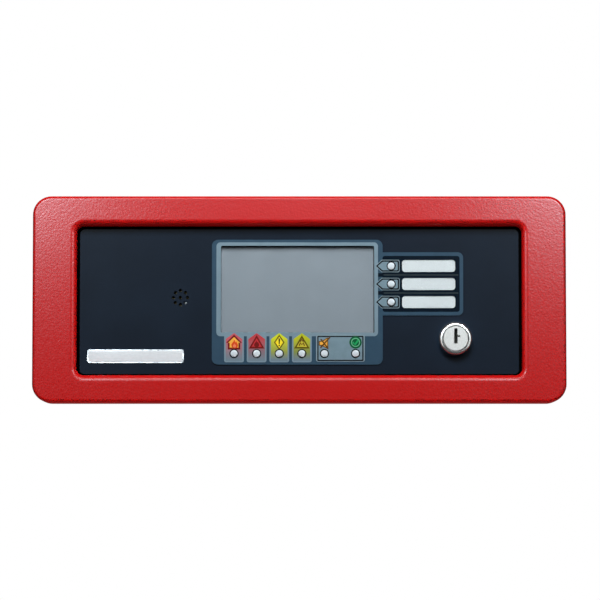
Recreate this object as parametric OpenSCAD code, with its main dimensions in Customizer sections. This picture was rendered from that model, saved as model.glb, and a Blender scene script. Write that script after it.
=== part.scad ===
// Wall-mounted fire alarm interface panel: a red steel door with a recessed dark
// panel, a colour touch display, status lights, slip-in labels and a key lock, on a
// shallow steel wall box.
//
// The modules are drawn lying on the back: x runs to the right, y up the wall and z
// out of the wall towards the reader. upright() turns each one to stand on its wall,
// with +Z up and the door facing -Y. The origin is the centre of the box's back.

/* [Door] */
// Overall width of the door
door_w = 343; // [335:1:360]
// Overall height of the door
door_h = 133; // [130:1:140]
// Depth of the door, from its back flange to its front face
door_depth = 22; // [20:0.5:26]
// Radius of the door's corners
door_corner_r = 12; // [9:0.5:15]
// Radius of the door's front edge
door_edge_r = 2.2; // [1.8:0.1:3]
// Thickness of the door's steel
door_t = 1.5; // [1.2:0.1:1.6]
// Width of the opening in the door
opening_w = 286.5; // [280:0.5:288]
// Height of the opening in the door
opening_h = 96.2; // [95:0.1:98]
// Drop of the opening's middle below the door's middle
opening_drop = 0.65; // [0:0.05:1]
// Radius of the rolled edge around the opening
roll_r = 4; // [2.5:0.1:4]
// Depth of the panel below the door's face
recess = 7; // [6:0.5:8]

/* [Wall box] */
// How far the door stands out past the box at each side
box_inset_x = 12; // [12:0.5:14]
// How far the door stands out past the box above and below
box_inset_y = 6.5; // [5.5:0.5:7]
// Depth of the box
box_depth = 58; // [50:1:75]
// Thickness of the box's steel
box_t = 1.5; // [1.2:0.1:2]
// Width of the flange around the box's mouth
box_flange = 9; // [8:0.5:10]
// Thickness of the foam seal between the box and the door
seal_t = 1.5; // [1:0.1:2]
// Distance between the wall screws, left to right
wall_holes_x = 254; // [200:1:270]
// Distance between the wall screws, bottom to top
wall_holes_y = 80; // [60:1:90]
// Radius of the wall screw holes
wall_hole_r = 3; // [2:0.1:3.5]

/* [Interface panel] */
// Thickness of the dark panel
panel_t = 1.2; // [1:0.1:1.5]
// Width of the display block on the overlay
block_w = 110; // [108:0.5:112]
// Height of the display block on the overlay
block_h = 80.6; // [80:0.2:82]
// Thickness of the printed overlay
overlay_t = 0.2; // [0.15:0.05:0.3]
// Thickness of the spacer that the labels slide in
spacer_t = 0.4; // [0.4:0.05:0.6]

/* [Display] */
// Width of the display window in the overlay
window_w = 98.8; // [95:0.2:99.4]
// Height of the display window in the overlay
window_h = 56.2; // [54:0.2:57]
// Width of the display module
display_w = 105.5; // [104:0.5:107]
// Height of the display module
display_h = 67.2; // [66:0.2:68]

/* [Lights and labels] */
// Radius of a light's lens
lens_r = 2.3; // [1.8:0.1:2.4]
// Distance between the four alarm lights
alarm_pitch = 14.55; // [13:0.05:14.6]
// Distance between the label strips
label_pitch = 11.65; // [11:0.05:11.8]
// Width of a label's window
label_w = 34.8; // [32:0.2:35]
// Height of a label's window
label_h = 8.2; // [7:0.1:8.4]

/* [Key lock] */
// Radius of the lock's collar
collar_r = 10.8; // [10.4:0.1:12]
// Radius of the turning plug's face
plug_r = 8; // [7.6:0.1:8.2]
// Length of the cam, from the lock's axis to its tip
cam_reach = 31; // [28:0.5:32]

/* [Hinge] */
// Length of the hinge
hinge_l = 100; // [60:1:104]
// Outer radius of the hinge's knuckles
knuckle_r = 3; // [2.8:0.1:3.1]
// Number of knuckles on both leaves together
knuckles = 9; // [5:2:11]

/* [Circuit board] */
// Width of the circuit board
board_w = 138; // [137:1:140]
// Height of the circuit board
board_h = 92.5; // [92:0.5:94]
// Thickness of the circuit board
board_t = 1.6; // [1.2:0.1:1.8]

/* [Hidden] */
$fn = 48;
FINE = 96;             // smoothness of what is looked at closely

// Levels, measured out of the wall.
seal_front = box_depth + seal_t;
door_front = seal_front + door_depth;
panel_front = door_front - recess;
panel_back = panel_front - panel_t;
spacer_front = panel_front + spacer_t;
overlay_front = spacer_front + overlay_t;

// Wall box.
box_w = door_w - 2 * box_inset_x;
box_h = door_h - 2 * box_inset_y;
box_corner_r = 2.5;
mouth_w = box_w - 2 * box_flange;
mouth_h = box_h - 2 * box_flange;
wall_holes = [for (x = [-1, 1], y = [-1, 1]) [x * wall_holes_x / 2, y * wall_holes_y / 2]];
seal_w = 5;
seal_inset = 0.6;
knockout_r = 11.1;     // half-inch conduit knockout
knockout_x = 70;
knockout_cut = 0.3;
knockout_tab = 2;
entry_r = 14.1;        // hole for the cable bushing
entry_at = [-75, 0];
bushing_bore_r = 11;
bushing_rim_r = 17;
bushing_rim_t = 1.5;
bushing_l = 9;
earth_at = [92, -42];
earth_r = 2;
earth_l = 14;
earth_nut_r = 4;

// Door.
door_return_x = 18;    // width of the door's back flange at the sides
door_return_y = 13;    // and above and below
opening_corner_r = 4.5;
roll_land = 2;         // flat metal that belongs to the rolled edge's sweep
shell_in = 8;          // how far the swept outer edge reaches inwards
stud_x = 149.1;
stud_y = 38;
studs = [for (x = [-stud_x, stud_x], y = [-stud_y, 0, stud_y]) [x, y]];
stud_r = 1.5;
stud_l = 11.5;
stud_fit = 0.2;
panel_nut_r = 3.15;
panel_nut_t = 2.4;

// Panel, and what shows through it.
panel_w = door_w - 2 * door_return_x - 3;
panel_h = door_h - 2 * door_return_y - 2;
block_at = [-1.3, -1.5];
block_corner_r = 4;
label_block_w = 55.6;
label_block_h = 40.8;
label_block_at = [77.8, 10.3];
label_block_r = 3.5;
window_at = [-1.1, 6.8];
window_corner_r = 0.8;
window_more = [1.8, 1.8];   // how much larger the panel's window is
light_y = -34.7;
alarm_x = -42;
state_xs = [16.2, 36.2];
status_xs = concat([for (i = [0 : 3]) alarm_x + i * alarm_pitch], state_xs);
status_lights = [for (x = status_xs) [x, light_y]];
label_mid_y = 10.15;
label_ys = [for (i = [-1 : 1]) label_mid_y - i * label_pitch];
label_x = 83.5;
label_corner_r = 1.3;
label_light_x = 59.2;
label_lights = [for (y = label_ys) [label_light_x, y]];
lights = concat(status_lights, label_lights);
lens_gap = 0.25;
lens_collar = 0.9;
lens_collar_t = 1.2;
sounder_at = [-76.6, 1.4];
sounder_ring = 4.55;
sounder_hole_r = 1.1;
sounder_holes = 8;
badge_at = [-105.4, -36.4];
badge_w = 62;
badge_h = 8.6;
badge_t = 0.4;

// Label strips.
strip_l = 39.5;
strip_h = 9;
strip_t = 0.25;
strip_gap = 0.2;
label_edge_x = label_block_at[0] + label_block_w / 2;
strip_end_x = label_edge_x - 0.6;

// Display.
display_drop = 2.3;    // how far the module's centre lies below the window's
display_at = window_at - [0, display_drop];
tape_t = 0.3;
touch_t = 1.1;
frame_t = 3.6;
frame_lip = 0.4;
cell_w = 100;
cell_h = 58;
cell_t = 1.2;
cell_fit = 0.2;
touch_front = panel_back - tape_t;
frame_front = touch_front - touch_t;
frame_back = frame_front - frame_t;
cell_front = frame_front - frame_lip;
cell_back = cell_front - cell_t;
pad_size = 11;
pad_x = 38;
pad_y = 18;

// Circuit board.
board_at = [7, 0.25];
standoff_l = 8.4;
standoff_r = 3;
board_front = panel_back - standoff_l;
board_back = board_front - board_t;
fixings = [for (x = [-58, 7, 72], y = [-42, 42.7]) [x, y]];
screw_r = 1.45;
screw_bore_r = 1.5;
screw_head_r = 2.8;
screw_head_t = 2;
screw_slot = 0.8;
screw_in = 6;
led_t = 1.7;
led_size = [3.2, 2.8];
led_lens_r = 1.2;
lens_back = board_front + led_t + 0.8;
ribbon_w = 20;
ribbon_t = 0.3;
ribbon_y = -31;        // where the ribbon passes through the board
ribbon_slot = [22.5, 2.4];
ribbon_bend = 1;
ribbon_up = 1.6;       // where the ribbon leaves the display, above its back
ribbon_drop = 1.7;     // and where it enters its socket, behind the board
ribbon_socket_y = -26;
ribbon_socket = [26, 5, 3];
terminal_poles = 4;
terminal_pitch = 5.08;
terminal_xs = [-18, 16];
terminal_y = 27;
terminal_w = terminal_poles * terminal_pitch + 1.6;
terminal_d = 10;
terminal_wall = 1.2;
terminal_bore = 1.7;
terminal_sink = 3;
header_h = 8.5;
plug_h = 15.5;
plug_fit = 0.1;
plug_w = terminal_w - 2 * terminal_wall - 2 * plug_fit;
wire_slot = 2.6;
chip_t = 1.4;
processor_at = [-22, -4];
processor_w = 20;
memory_places = [[6, -2], [6, -14]];
memory_size = [12, 8];
coil_places = [[46, 8], [46, -10]];
coil_w = 12;
coil_h = 6;
capacitor_places = [for (y = [-20, -6, 8]) [64, y]];
capacitor_r = 4;
capacitor_h = 10.5;

// Sounder, and the lead that joins it to the board.
disc_r = 13.5;
disc_t = 0.25;
foam_t = 1.5;
foam_w = 2;
ceramic_r = 10;
disc_front = panel_back - foam_t;
disc_back = disc_front - disc_t;
ceramic_back = disc_back - disc_t;
lead_socket = [7, 7.5, 5];
lead_socket_at = [-58.2, 16];
lead_plug = [8, 5, 3.4];
lead_plug_in = 4.5;    // how far the plug goes into its socket
lead_plug_x = lead_socket_at[0] - lead_socket[0] / 2 - (lead_plug[0] - lead_plug_in);
lead_level = board_front + 2.6;
lead_gap = 1.2;        // from the plug's middle to each lead
lead_r = 0.6;
lead_steps = 14;
lead_sides = 8;
lead_side = [0.3, 1, 0.2];

// Key lock.
lock_at = [100.5, -25.2];
lock_front = panel_front + 5.5;
lock_body_r = 9.5;
lock_flat = 8.1;       // from the axis to each flat of the body
lock_back = panel_front - 18;
lock_fit = 0.05;
collar_h = lock_front - panel_front;
collar_top_r = 9.2;
plug_front = lock_front + 0.3;
plug_shoulder = panel_front + 2.5;
plug_head_h = plug_front - plug_shoulder - lock_fit;
barrel_r = 6.5;
cam_front = lock_back - 0.8;
cam_t = 2;
cam_back = cam_front - cam_t;
cam_w = 13;
cam_hub_r = 9;
tail = 7.5;
cam_screw_r = 2;
cam_screw_l = 6;
cam_screw_head_r = 5.6;
cam_screw_head_t = 1.8;
nut_r = 13.8;
nut_t = 4;
washer_t = 1;
washer_r = 11.8;
washer_teeth = 12;
keyway_w = 2.2;
keyway_h = 9.8;
keyway_rise = 1.6;      // the keyway's middle, above the plug's
ward_rise = 0.9;        // the foot of its side groove, above the plug's middle
ward_reach = 2.7;       // how far that groove reaches sideways
ward_h = 1.2;
keyway_depth = 14;

// Hinge.
leaf_t = 1.2;
leaf_w = 20;
pin_r = 1.5;
pin_fit = 0.05;
pin_head_r = 2.3;
knuckle_gap = 0.3;
knuckle_pitch = hinge_l / knuckles;
hinge_at = [-box_w / 2 - knuckle_r - 0.5, seal_front - knuckle_r - 0.4];
leaf_clear_r = knuckle_r + 0.4;    // a leaf stays out of the other's knuckles
door_leaf_x = -door_w / 2 + 0.5;

// ---------------------------------------------------------------- shared shapes

// Stands a shape that lies on its back up against the wall.
module upright() rotate([90, 0, 0]) children();

// A slab of a flat outline, between two levels.
module slab(low, high) translate([0, 0, low]) linear_extrude(high - low) children();

// A round bar between two levels.
module bar(r, low, high) translate([0, 0, low]) cylinder(h = high - low, r = r);

// A block between two levels, centred on the axis.
module block(size, low, high) slab(low, high) square(size, center = true);

// A rectangle with round corners, centred on the origin.
module round_rect(size, r) {
    square([size[0] - 2 * r, size[1]], center = true);
    square([size[0], size[1] - 2 * r], center = true);
    for (x = [-1, 1], y = [-1, 1])
        translate([x * (size[0] / 2 - r), y * (size[1] / 2 - r)]) circle(r);
}

// A quarter of a ring, in the quadrant where x and y are positive.
module quarter_ring(outer, inner) {
    intersection() {
        difference() {
            circle(outer, $fn = FINE);
            circle(inner, $fn = FINE);
        }
        square(outer);
    }
}

// A profile swept around a rectangle with round corners. The profile's x is the
// distance outside the rectangle, and its y is the level.
module edge_sweep(size, r) {
    for (k = [0 : 3]) {
        across = size[k % 2];
        along = size[(k + 1) % 2] - 2 * r;
        rotate(k * 90) {
            translate([across / 2, along / 2, 0])
                rotate([90, 0, 0]) linear_extrude(along) children();
            translate([across / 2 - r, along / 2, 0])
                rotate_extrude(angle = 90, $fn = FINE) translate([r, 0]) children();
        }
    }
}

// A hexagonal nut between two levels.
module hex_nut(r, bore, low, high) {
    difference() {
        translate([0, 0, low]) cylinder(h = high - low, r = r, $fn = 6);
        bar(bore, low - 1, high + 1);
    }
}

// Puts its children at each of a list of places.
module at_each(places) for (p = places) translate(p) children();

// ---------------------------------------------------------------- wall box

module back_box() color("firebrick") upright() difference() {
    slab(0, box_depth) round_rect([box_w, box_h], box_corner_r);
    slab(box_t, box_depth - box_t)
        round_rect([box_w - 2 * box_t, box_h - 2 * box_t], box_corner_r - box_t);
    block([mouth_w, mouth_h], box_depth - 2 * box_t, box_depth + 1);
    at_each(wall_holes) bar(wall_hole_r, -1, box_t + 1);
    translate(entry_at) bar(entry_r, -1, box_t + 1);
    translate(earth_at) bar(earth_r, -1, box_t + 1);
    for (x = [-knockout_x, knockout_x], side = [-1, 1])
        translate([x, side * (box_h - box_t) / 2, box_depth / 2])
            rotate([90, 0, 0]) knockout_groove();
}

// The narrow cut around a knockout, left whole at two tabs.
module knockout_groove() difference() {
    bar(knockout_r, -box_t, box_t);
    bar(knockout_r - knockout_cut, -2 * box_t, 2 * box_t);
    block([knockout_tab, 3 * knockout_r], -2 * box_t, 2 * box_t);
}

module cable_bushing() color("dimgray") upright() translate(entry_at) difference() {
    union() {
        bar(entry_r, 0, box_t);
        bar(bushing_rim_r, box_t, box_t + bushing_rim_t);
        bar(entry_r - 1, box_t, bushing_l);
    }
    bar(bushing_bore_r, -1, bushing_l + 1);
}

module rim_seal() color("dimgray") upright() slab(box_depth, seal_front) difference() {
    square([box_w, box_h] - [seal_inset, seal_inset], center = true);
    square([box_w, box_h] - [seal_inset, seal_inset] - 2 * [seal_w, seal_w], center = true);
}

module earth_stud() color("gold") upright() translate(earth_at) {
    bar(earth_r, 0, earth_l);
    bar(earth_r + 1, box_t, box_t + 1);
}

module earth_nut() color("gold") upright() translate(earth_at) {
    difference() {
        bar(earth_nut_r + 1, box_t + 1, box_t + 2);
        bar(earth_r, box_t, box_t + 3);
    }
    hex_nut(earth_nut_r, earth_r, box_t + 2, box_t + 5);
}

// ---------------------------------------------------------------- hinge

// Puts its children, drawn along the hinge's axis from its bottom, in their place.
module on_hinge() upright() translate([hinge_at[0], -hinge_l / 2, hinge_at[1]])
    rotate([-90, 0, 0]) children();

// The tubes of one leaf: every second knuckle, from the given one.
module knuckle_tubes(first) {
    for (i = [first : 2 : knuckles - 1])
        difference() {
            bar(knuckle_r, knuckle_low(i), knuckle_high(i));
            bar(pin_r + pin_fit, knuckle_low(i) - 1, knuckle_high(i) + 1);
        }
}
function knuckle_low(i) = i * knuckle_pitch + knuckle_gap / 2;
function knuckle_high(i) = (i + 1) * knuckle_pitch - knuckle_gap / 2;

// A plate on the hinge, given by two opposite corners across the axis: x from the
// axis and the level above it. on_hinge() turns levels over, hence the minus sign.
module hinge_plate(x, level, low, high) translate([x[0], -level[1], low])
    cube([x[1] - x[0], level[1] - level[0], high - low]);

module hinge_box_leaf() color("silver") on_hinge() {
    wall_x = [-box_w / 2 - leaf_t, -box_w / 2] - [hinge_at[0], hinge_at[0]];
    difference() {
        union() {
            hinge_plate(wall_x, [-leaf_w, -leaf_clear_r], 0, hinge_l);
            for (i = [0 : 2 : knuckles - 1])
                hinge_plate(wall_x, [-leaf_clear_r - 1, 0], knuckle_low(i), knuckle_high(i));
        }
        bar(pin_r + pin_fit, -1, hinge_l + 1);
    }
    knuckle_tubes(0);
}

module hinge_door_leaf() color("silver") on_hinge() {
    levels = [seal_front - leaf_t, seal_front] - [hinge_at[1], hinge_at[1]];
    edge_x = door_leaf_x - hinge_at[0];
    hinge_plate([edge_x, -leaf_clear_r], levels, 0, hinge_l);
    for (i = [1 : 2 : knuckles - 1])
        hinge_plate([-leaf_clear_r - 1, 0], levels, knuckle_low(i), knuckle_high(i));
    knuckle_tubes(1);
}

module hinge_pin() color("silver") on_hinge() {
    bar(pin_r, 0, hinge_l);
    bar(pin_head_r, -1, 0);
    bar(pin_head_r, hinge_l, hinge_l + 1);
}

// ---------------------------------------------------------------- door

// The section through the door's outer edge: side, round front edge, back flange.
module door_edge_profile() {
    translate([-door_t, seal_front]) square([door_t, door_depth - door_edge_r]);
    translate([-door_edge_r, door_front - door_edge_r])
        quarter_ring(door_edge_r, door_edge_r - door_t);
    translate([-shell_in, door_front - door_t]) square([shell_in - door_edge_r, door_t]);
    translate([-shell_in, seal_front]) square([shell_in, door_t]);
}

// The section through the rolled edge of the opening.
module opening_profile() {
    translate([0, panel_front]) square([door_t, recess - roll_r]);
    translate([roll_r, door_front - roll_r])
        mirror([1, 0]) quarter_ring(roll_r, roll_r - door_t);
    translate([roll_r, door_front - door_t]) square([roll_land, door_t]);
}

module door_shell() color("firebrick") upright() {
    shell = [door_w, door_h];
    opening = [opening_w, opening_h];
    inner = shell - 2 * [shell_in, shell_in];
    inner_r = door_corner_r - shell_in;
    roll_out = roll_r + roll_land;
    edge_sweep(shell, door_corner_r) door_edge_profile();
    translate([0, -opening_drop, 0]) edge_sweep(opening, opening_corner_r) opening_profile();
    slab(door_front - door_t, door_front) difference() {
        round_rect(inner, inner_r);
        translate([0, -opening_drop])
            round_rect(opening + 2 * [roll_out, roll_out], opening_corner_r + roll_out);
    }
    slab(seal_front, seal_front + door_t) difference() {
        round_rect(inner, inner_r);
        square(shell - 2 * [door_return_x, door_return_y], center = true);
    }
}

module door_studs() color("goldenrod") upright() at_each(studs)
    bar(stud_r, door_front - door_t - stud_l, door_front - door_t);

module panel_nuts() color("silver") upright() at_each(studs)
    hex_nut(panel_nut_r, stud_r, panel_back - panel_nut_t, panel_back);

// ---------------------------------------------------------------- panel and overlay

module light_holes(r) at_each(lights) circle(r);

module interface_panel() color("darkslategray") upright() slab(panel_back, panel_front)
    difference() {
        square([panel_w, panel_h], center = true);
        at_each(studs) circle(stud_r + stud_fit);
        translate(window_at) square([window_w, window_h] + window_more, center = true);
        light_holes(lens_r + lens_gap);
        translate(sounder_at) {
            circle(sounder_hole_r);
            for (k = [0 : sounder_holes - 1])
                rotate(k * 360 / sounder_holes) translate([sounder_ring, 0])
                    circle(sounder_hole_r);
        }
        translate(lock_at) intersection() {
            circle(lock_body_r + lock_fit);
            square([3 * lock_body_r, 2 * (lock_flat + lock_fit)], center = true);
        }
    }

// The outline that the overlay and the spacer under it share.
module overlay_outline() {
    translate(block_at) round_rect([block_w, block_h], block_corner_r);
    translate(label_block_at) round_rect([label_block_w, label_block_h], label_block_r);
}

module overlay_spacer() color("gray") upright() slab(panel_front, spacer_front)
    difference() {
        overlay_outline();
        translate(window_at) square([window_w, window_h] + window_more, center = true);
        light_holes(lens_r + lens_gap);
        for (y = label_ys)
            translate([strip_end_x - strip_l - strip_gap, y - strip_h / 2 - strip_gap])
                square([strip_l + 5, strip_h + 2 * strip_gap]);
    }

module graphic_overlay() color("slategray") upright() slab(spacer_front, overlay_front)
    difference() {
        overlay_outline();
        translate(window_at) round_rect([window_w, window_h], window_corner_r);
        light_holes(lens_r + lens_gap);
        for (y = label_ys) translate([label_x, y]) round_rect([label_w, label_h], label_corner_r);
    }

module label_windows() color("white", 0.4) upright() slab(spacer_front, overlay_front)
    for (y = label_ys) translate([label_x, y]) round_rect([label_w, label_h], label_corner_r);

module name_badge() color("gainsboro") upright() translate(badge_at)
    slab(panel_front, panel_front + badge_t) round_rect([badge_w, badge_h], 1);

// One paper strip, which slides out of the spacer's channel to the right.
module label_strip(y) color("white") upright()
    translate([strip_end_x - strip_l, y - strip_h / 2, panel_front + (spacer_t - strip_t) / 2])
        cube([strip_l, strip_h, strip_t]);

module label_strip_top() label_strip(label_ys[0]);
module label_strip_middle() label_strip(label_ys[1]);
module label_strip_bottom() label_strip(label_ys[2]);

// ---------------------------------------------------------------- display

module display_tape() color("black") upright() slab(touch_front, panel_back) difference() {
    translate(display_at) square([display_w, display_h], center = true);
    translate(window_at) square([window_w, window_h] + window_more, center = true);
}

module touch_screen() color("lightsteelblue", 0.5) upright() translate(display_at)
    block([display_w, display_h], frame_front, touch_front);

// The pressed steel frame, open to the front over the cell and hollow behind it.
module display_frame() color("silver") upright() difference() {
    translate(display_at) block([display_w, display_h], frame_back, frame_front);
    translate(window_at) block([cell_w, cell_h] - [1, 1], cell_front - 1, frame_front + 1);
    translate(window_at) block([cell_w, cell_h] + 2 * [cell_fit, cell_fit],
                               frame_back - 1, cell_front);
}

module display_cell() color("gray") upright() translate(window_at)
    block([cell_w, cell_h], cell_back, cell_front);

module display_backlight() color("white") upright() translate(window_at)
    block([cell_w, cell_h], frame_back, cell_back);

module display_pads() color("black") upright() translate(display_at)
    for (x = [-1, 1], y = [-1, 1])
        translate([x * pad_x, y * pad_y]) block([pad_size, pad_size], board_front, frame_back);

// The flat cable: out of the module's lower edge, back through the board and into
// its socket. The section is drawn with x up the wall and y as the level.
module display_ribbon() color("peru") upright() translate([display_at[0] - ribbon_w / 2, 0, 0])
    rotate([90, 0, 90]) linear_extrude(ribbon_w) ribbon_section();

module ribbon_section() {
    start_y = display_at[1] - display_h / 2;
    half = ribbon_t / 2;
    outer = ribbon_bend + half;
    front = frame_back + ribbon_up;
    back = board_back - ribbon_drop;
    turn_y = ribbon_y + ribbon_bend;
    translate([turn_y, front - half]) square([start_y - turn_y, ribbon_t]);
    translate([turn_y, front - ribbon_bend]) mirror([1, 0])
        quarter_ring(outer, outer - ribbon_t);
    translate([ribbon_y - half, back + ribbon_bend])
        square([ribbon_t, front - back - 2 * ribbon_bend]);
    translate([turn_y, back + ribbon_bend]) rotate(180) quarter_ring(outer, outer - ribbon_t);
    translate([turn_y, back - half])
        square([ribbon_socket_y - ribbon_socket[1] / 2 + 1 - turn_y, ribbon_t]);
}

module ribbon_socket() color("ivory") upright() difference() {
    translate([display_at[0], ribbon_socket_y])
        block([ribbon_socket[0], ribbon_socket[1]], board_back - ribbon_socket[2], board_back);
    translate([display_at[0] - ribbon_w / 2 - 0.1,
               ribbon_socket_y - ribbon_socket[1] / 2 - 1,
               board_back - ribbon_drop - ribbon_t / 2])
        cube([ribbon_w + 0.2, 2, ribbon_t]);
}

// ---------------------------------------------------------------- circuit board

module main_board() color("darkgreen") upright() slab(board_back, board_front) difference() {
    translate(board_at) round_rect([board_w, board_h], 1.5);
    at_each(fixings) circle(screw_bore_r);
    translate([display_at[0], ribbon_y]) square(ribbon_slot, center = true);
}

module board_standoffs() color("silver") upright() at_each(fixings) difference() {
    translate([0, 0, board_front]) cylinder(h = standoff_l, r = standoff_r, $fn = 6);
    bar(screw_bore_r, board_front - 1, panel_back - 1);
}

module board_screws() color("silver") upright() at_each(fixings) difference() {
    union() {
        bar(screw_head_r, board_back - screw_head_t, board_back);
        bar(screw_r, board_back - 0.1, board_front + screw_in);
    }
    translate([0, 0, board_back - screw_head_t - 1]) {
        translate([-screw_slot / 2, -2, 0]) cube([screw_slot, 4, 2]);
        translate([-2, -screw_slot / 2, 0]) cube([4, screw_slot, 2]);
    }
}

module led(p) translate(p) {
    block(led_size, board_front, board_front + led_t);
    bar(led_lens_r, board_front + led_t - 0.2, board_front + led_t + 0.3);
}
module status_leds() color("ivory") upright() for (p = status_lights) led(p);
module label_leds() color("ivory") upright() for (p = label_lights) led(p);

// A clear rod from just over its light to the overlay's face, with a collar that
// stops it behind the panel.
module lens(p) translate(p) {
    bar(lens_r, lens_back, overlay_front);
    bar(lens_r + lens_collar, panel_back - lens_collar_t, panel_back);
}
module status_lenses() color("whitesmoke") upright() for (p = status_lights) lens(p);
module label_lenses() color("whitesmoke") upright() for (p = label_lights) lens(p);

// A block on the back of the board, with the given height off it.
module on_back(p, size, height) translate(p) block(size, board_back - height, board_back);

module processor_chip() color("black") upright()
    on_back(processor_at, [processor_w, processor_w], chip_t);

module memory_chips() color("black") upright()
    for (p = memory_places) on_back(p, memory_size, chip_t);

module power_coils() color("dimgray") upright() for (p = coil_places) translate(p) {
    block([coil_w, coil_w], board_back - 1, board_back);
    bar(coil_w / 2 - 0.6, board_back - coil_h, board_back - 1);
}

module capacitors() color("silver") upright() for (p = capacitor_places) translate(p) {
    block([2 * capacitor_r + 1, 2 * capacitor_r + 1], board_back - 1, board_back);
    bar(capacitor_r, board_back - capacitor_h, board_back - 1);
}

// A header holds its plug in a trough that is open to the back and to the top.
module terminal_headers() color("seagreen") upright() for (x = terminal_xs)
    translate([x, terminal_y, 0]) difference() {
        block([terminal_w, terminal_d], board_back - header_h, board_back);
        translate([0, terminal_wall, 0])
            block([terminal_w - 2 * terminal_wall, terminal_d],
                  board_back - header_h - 1, board_back - terminal_wall);
    }

module terminal_plugs() color("mediumseagreen") upright() for (x = terminal_xs)
    translate([x, terminal_y, 0]) difference() {
        union() {
            translate([0, terminal_wall / 2, 0])
                block([plug_w, terminal_d - terminal_wall - 2 * plug_fit],
                      board_back - header_h, board_back - terminal_wall);
            translate([0, terminal_wall / 2, 0])
                block([terminal_w, terminal_d + 2], board_back - plug_h, board_back - header_h);
        }
        for (i = [0 : terminal_poles - 1]) translate([pole_x(i), 0, 0]) {
            bar(terminal_bore, board_back - plug_h - 1, board_back - plug_h + terminal_sink);
            translate([-wire_slot / 2, terminal_d / 2 - 2, board_back - header_h - 5])
                cube([wire_slot, 5, wire_slot]);
        }
    }
function pole_x(i) = (i - (terminal_poles - 1) / 2) * terminal_pitch;

module terminal_screws() color("silver") upright() for (x = terminal_xs)
    translate([x, terminal_y, 0]) for (i = [0 : terminal_poles - 1])
        translate([pole_x(i), 0, 0]) difference() {
            bar(terminal_bore - 0.05, board_back - plug_h + 1, board_back - plug_h + terminal_sink);
            translate([-2, -0.3, board_back - plug_h]) cube([4, 0.6, 1.8]);
        }

// ---------------------------------------------------------------- sounder

module sounder_ring() color("black") upright() translate(sounder_at)
    slab(disc_front, panel_back) difference() {
        circle(disc_r);
        circle(disc_r - foam_w);
    }

module sounder_disc() color("goldenrod") upright() translate(sounder_at)
    bar(disc_r, disc_back, disc_front);

module sounder_ceramic() color("lightgray") upright() translate(sounder_at)
    bar(ceramic_r, ceramic_back, disc_back);

// A lead is a tube along a smooth curve through four points.
function curve(p, t) = pow(1 - t, 3) * p[0] + 3 * t * pow(1 - t, 2) * p[1]
    + 3 * t * t * (1 - t) * p[2] + pow(t, 3) * p[3];
function unit(v) = v / norm(v);
function heading(p, t) = unit(curve(p, min(1, t + 0.01)) - curve(p, max(0, t - 0.01)));

module lead(p) {
    rings = [for (i = [0 : lead_steps]) i / lead_steps];
    points = [for (t = rings)
        let (at = curve(p, t), way = heading(p, t),
             side = unit(cross(way, lead_side)), up = cross(side, way))
        for (k = [0 : lead_sides - 1])
            at + lead_r * (cos(360 * k / lead_sides) * side + sin(360 * k / lead_sides) * up)];
    last = lead_steps * lead_sides;
    polyhedron(points, concat(
        [[for (k = [0 : lead_sides - 1]) k]],
        [[for (k = [0 : lead_sides - 1]) last + lead_sides - 1 - k]],
        [for (i = [0 : lead_steps - 1], k = [0 : lead_sides - 1])
            let (n = (k + 1) % lead_sides, a = i * lead_sides)
            [a + k, a + lead_sides + k, a + lead_sides + n, a + n]]));
}

module sounder_lead_red() color("red") upright()
    lead(lead_route(1, sounder_at + [3, 3], ceramic_back));
module sounder_lead_black() color("black") upright()
    lead(lead_route(-1, sounder_at + [10, -5], disc_back));

// From the plug's back, round to the disc. side is 1 for the upper lead.
function lead_route(side, end, level) = [
    [lead_plug_x, lead_socket_at[1] + side * lead_gap, lead_level],
    [lead_plug_x - 5, lead_socket_at[1] + side * lead_gap, lead_level - 0.5],
    [end[0], end[1], level - 5],
    [end[0], end[1], level]];

module lead_socket() color("ivory") upright() difference() {
    translate(lead_socket_at)
        block([lead_socket[0], lead_socket[1]], board_front, board_front + lead_socket[2]);
    translate([lead_socket_at[0] - lead_socket[0] / 2 - 1, lead_socket_at[1] - lead_plug[1] / 2,
               lead_level - lead_plug[2] / 2])
        cube([lead_plug_in + 1, lead_plug[1], lead_plug[2]]);
}

module lead_plug() color("white") upright()
    translate([lead_plug_x, lead_socket_at[1] - lead_plug[1] / 2, lead_level - lead_plug[2] / 2])
        cube(lead_plug);

// ---------------------------------------------------------------- key lock

module lock_body() color("silver") upright() translate(lock_at) difference() {
    union() {
        translate([0, 0, panel_front]) rotate_extrude($fn = FINE) polygon([
            [0, 0], [collar_r - 0.4, 0], [collar_r, 0.4], [collar_r, 1],
            [collar_top_r, collar_h - 0.4], [collar_top_r - 0.4, collar_h], [0, collar_h]]);
        slab(lock_back, panel_front) intersection() {
            circle(lock_body_r);
            square([3 * lock_body_r, 2 * lock_flat], center = true);
        }
    }
    bar(plug_r + lock_fit, plug_shoulder, lock_front + 1);
    bar(barrel_r + lock_fit, lock_back - 1, plug_shoulder + 1);
}

module lock_washer() color("silver") upright() translate(lock_at)
    slab(panel_back - washer_t, panel_back) difference() {
        union() {
            circle(washer_r);
            for (k = [0 : washer_teeth - 1])
                rotate(k * 360 / washer_teeth) translate([washer_r, 0])
                    square([1.6, 1.4], center = true);
        }
        circle(lock_body_r + lock_fit);
    }

module lock_nut() color("silver") upright() translate(lock_at)
    hex_nut(nut_r, lock_body_r + lock_fit, panel_back - washer_t - nut_t, panel_back - washer_t);

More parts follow.
